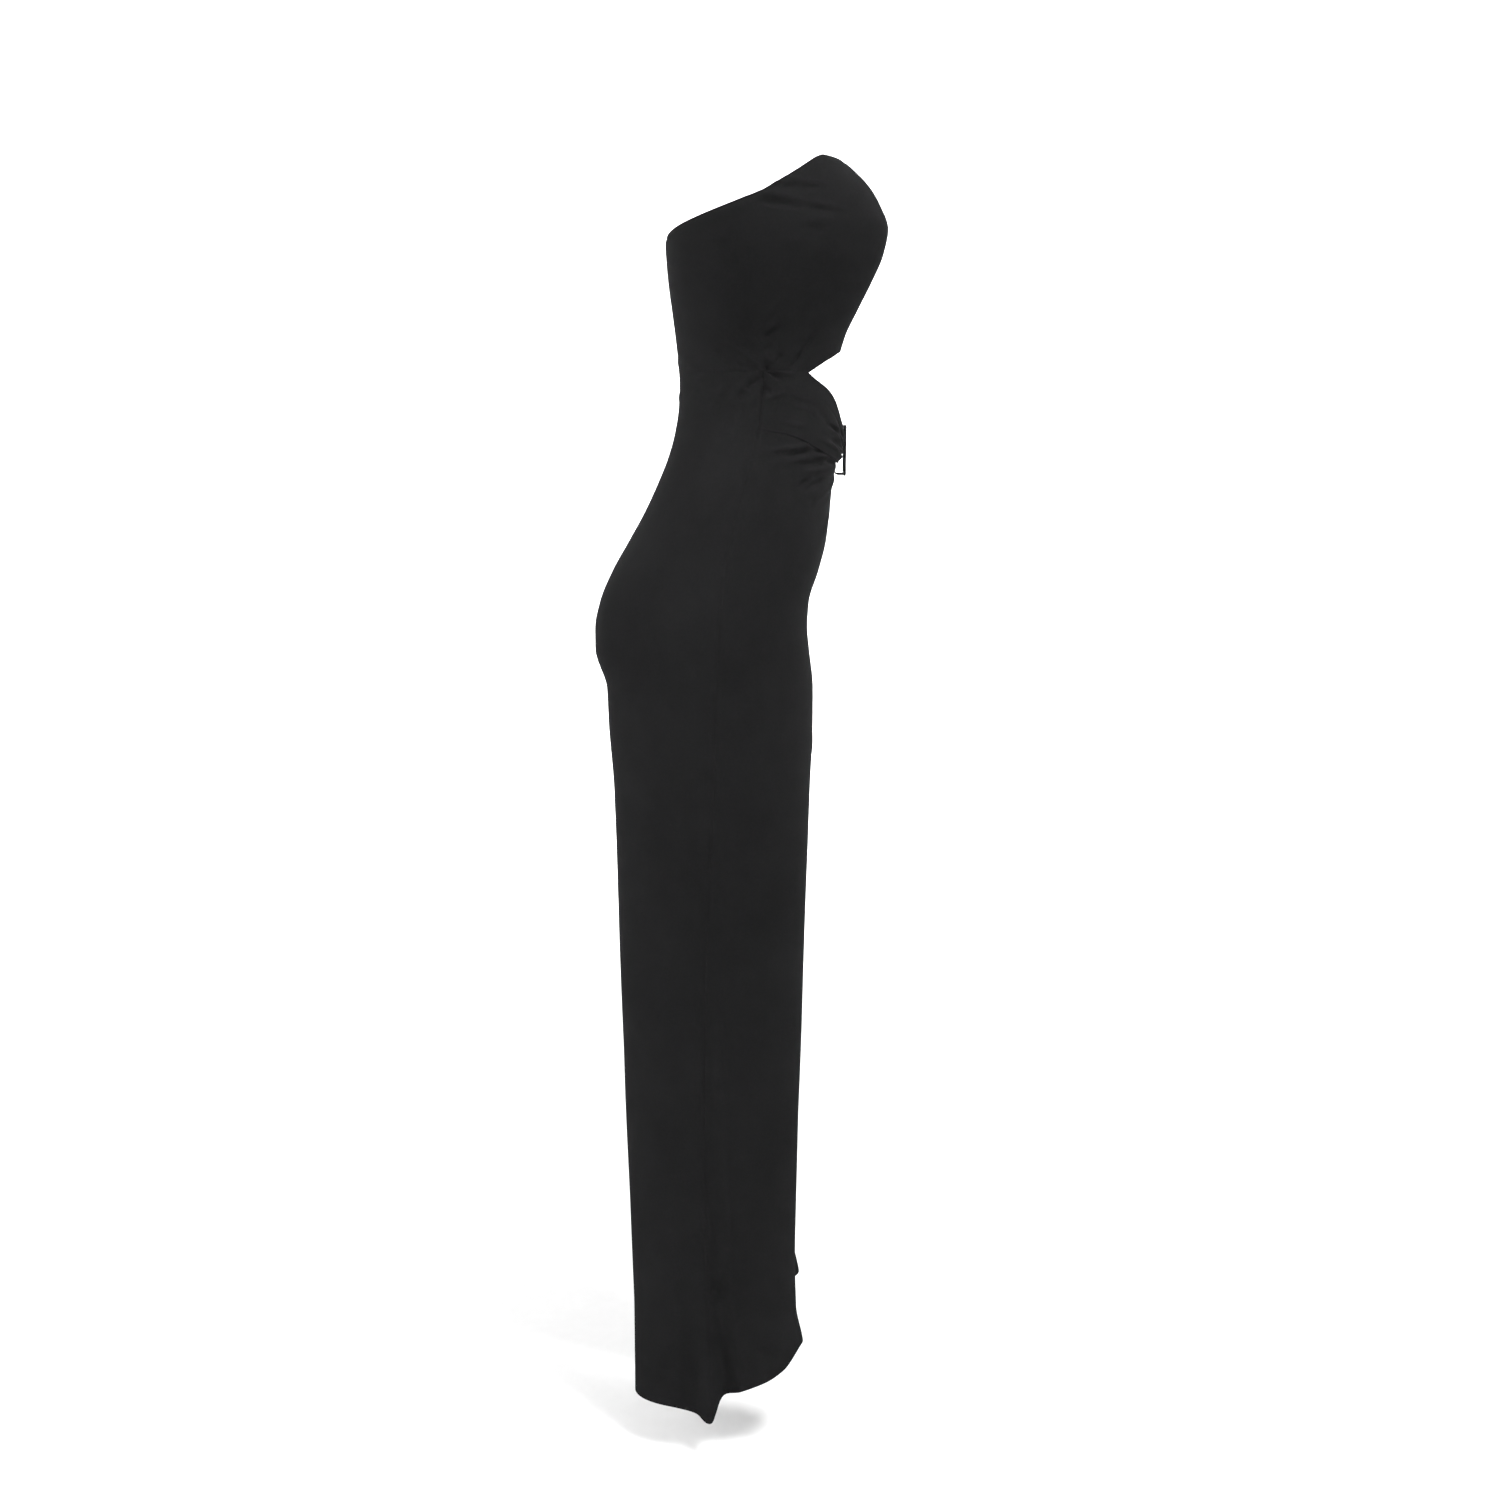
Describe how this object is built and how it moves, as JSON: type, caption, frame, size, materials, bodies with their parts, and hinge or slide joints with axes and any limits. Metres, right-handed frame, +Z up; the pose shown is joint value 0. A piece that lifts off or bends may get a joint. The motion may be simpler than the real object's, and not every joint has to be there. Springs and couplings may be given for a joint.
{
  "type": "jumpsuit",
  "caption": "Strapless full-length jumpsuit in plain stretch cloth, with a cutout under the bodice and a gathered waist band drawn through a buckle.",
  "frame": {"origin": "middle of the hollow at the natural waist, where the wearer holds the garment", "axes": "+Z up towards the bodice's top edge, -Y towards the garment's front, -X towards the wearer's right"},
  "size_m": [0.3402, 0.285, 1.3184],
  "materials": {
    "black_jersey": "matte knit",
    "buckle_metal": "dark polished"
  },
  "bodies": {
    "root": {"bodice_front": "black_jersey", "bodice_back": "black_jersey", "front_band": "black_jersey", "front_leg_right": "black_jersey", "front_leg_left": "black_jersey", "back_leg_right": "black_jersey", "back_leg_left": "black_jersey", "buckle": "buckle_metal"}
  },
  "joints": []
}
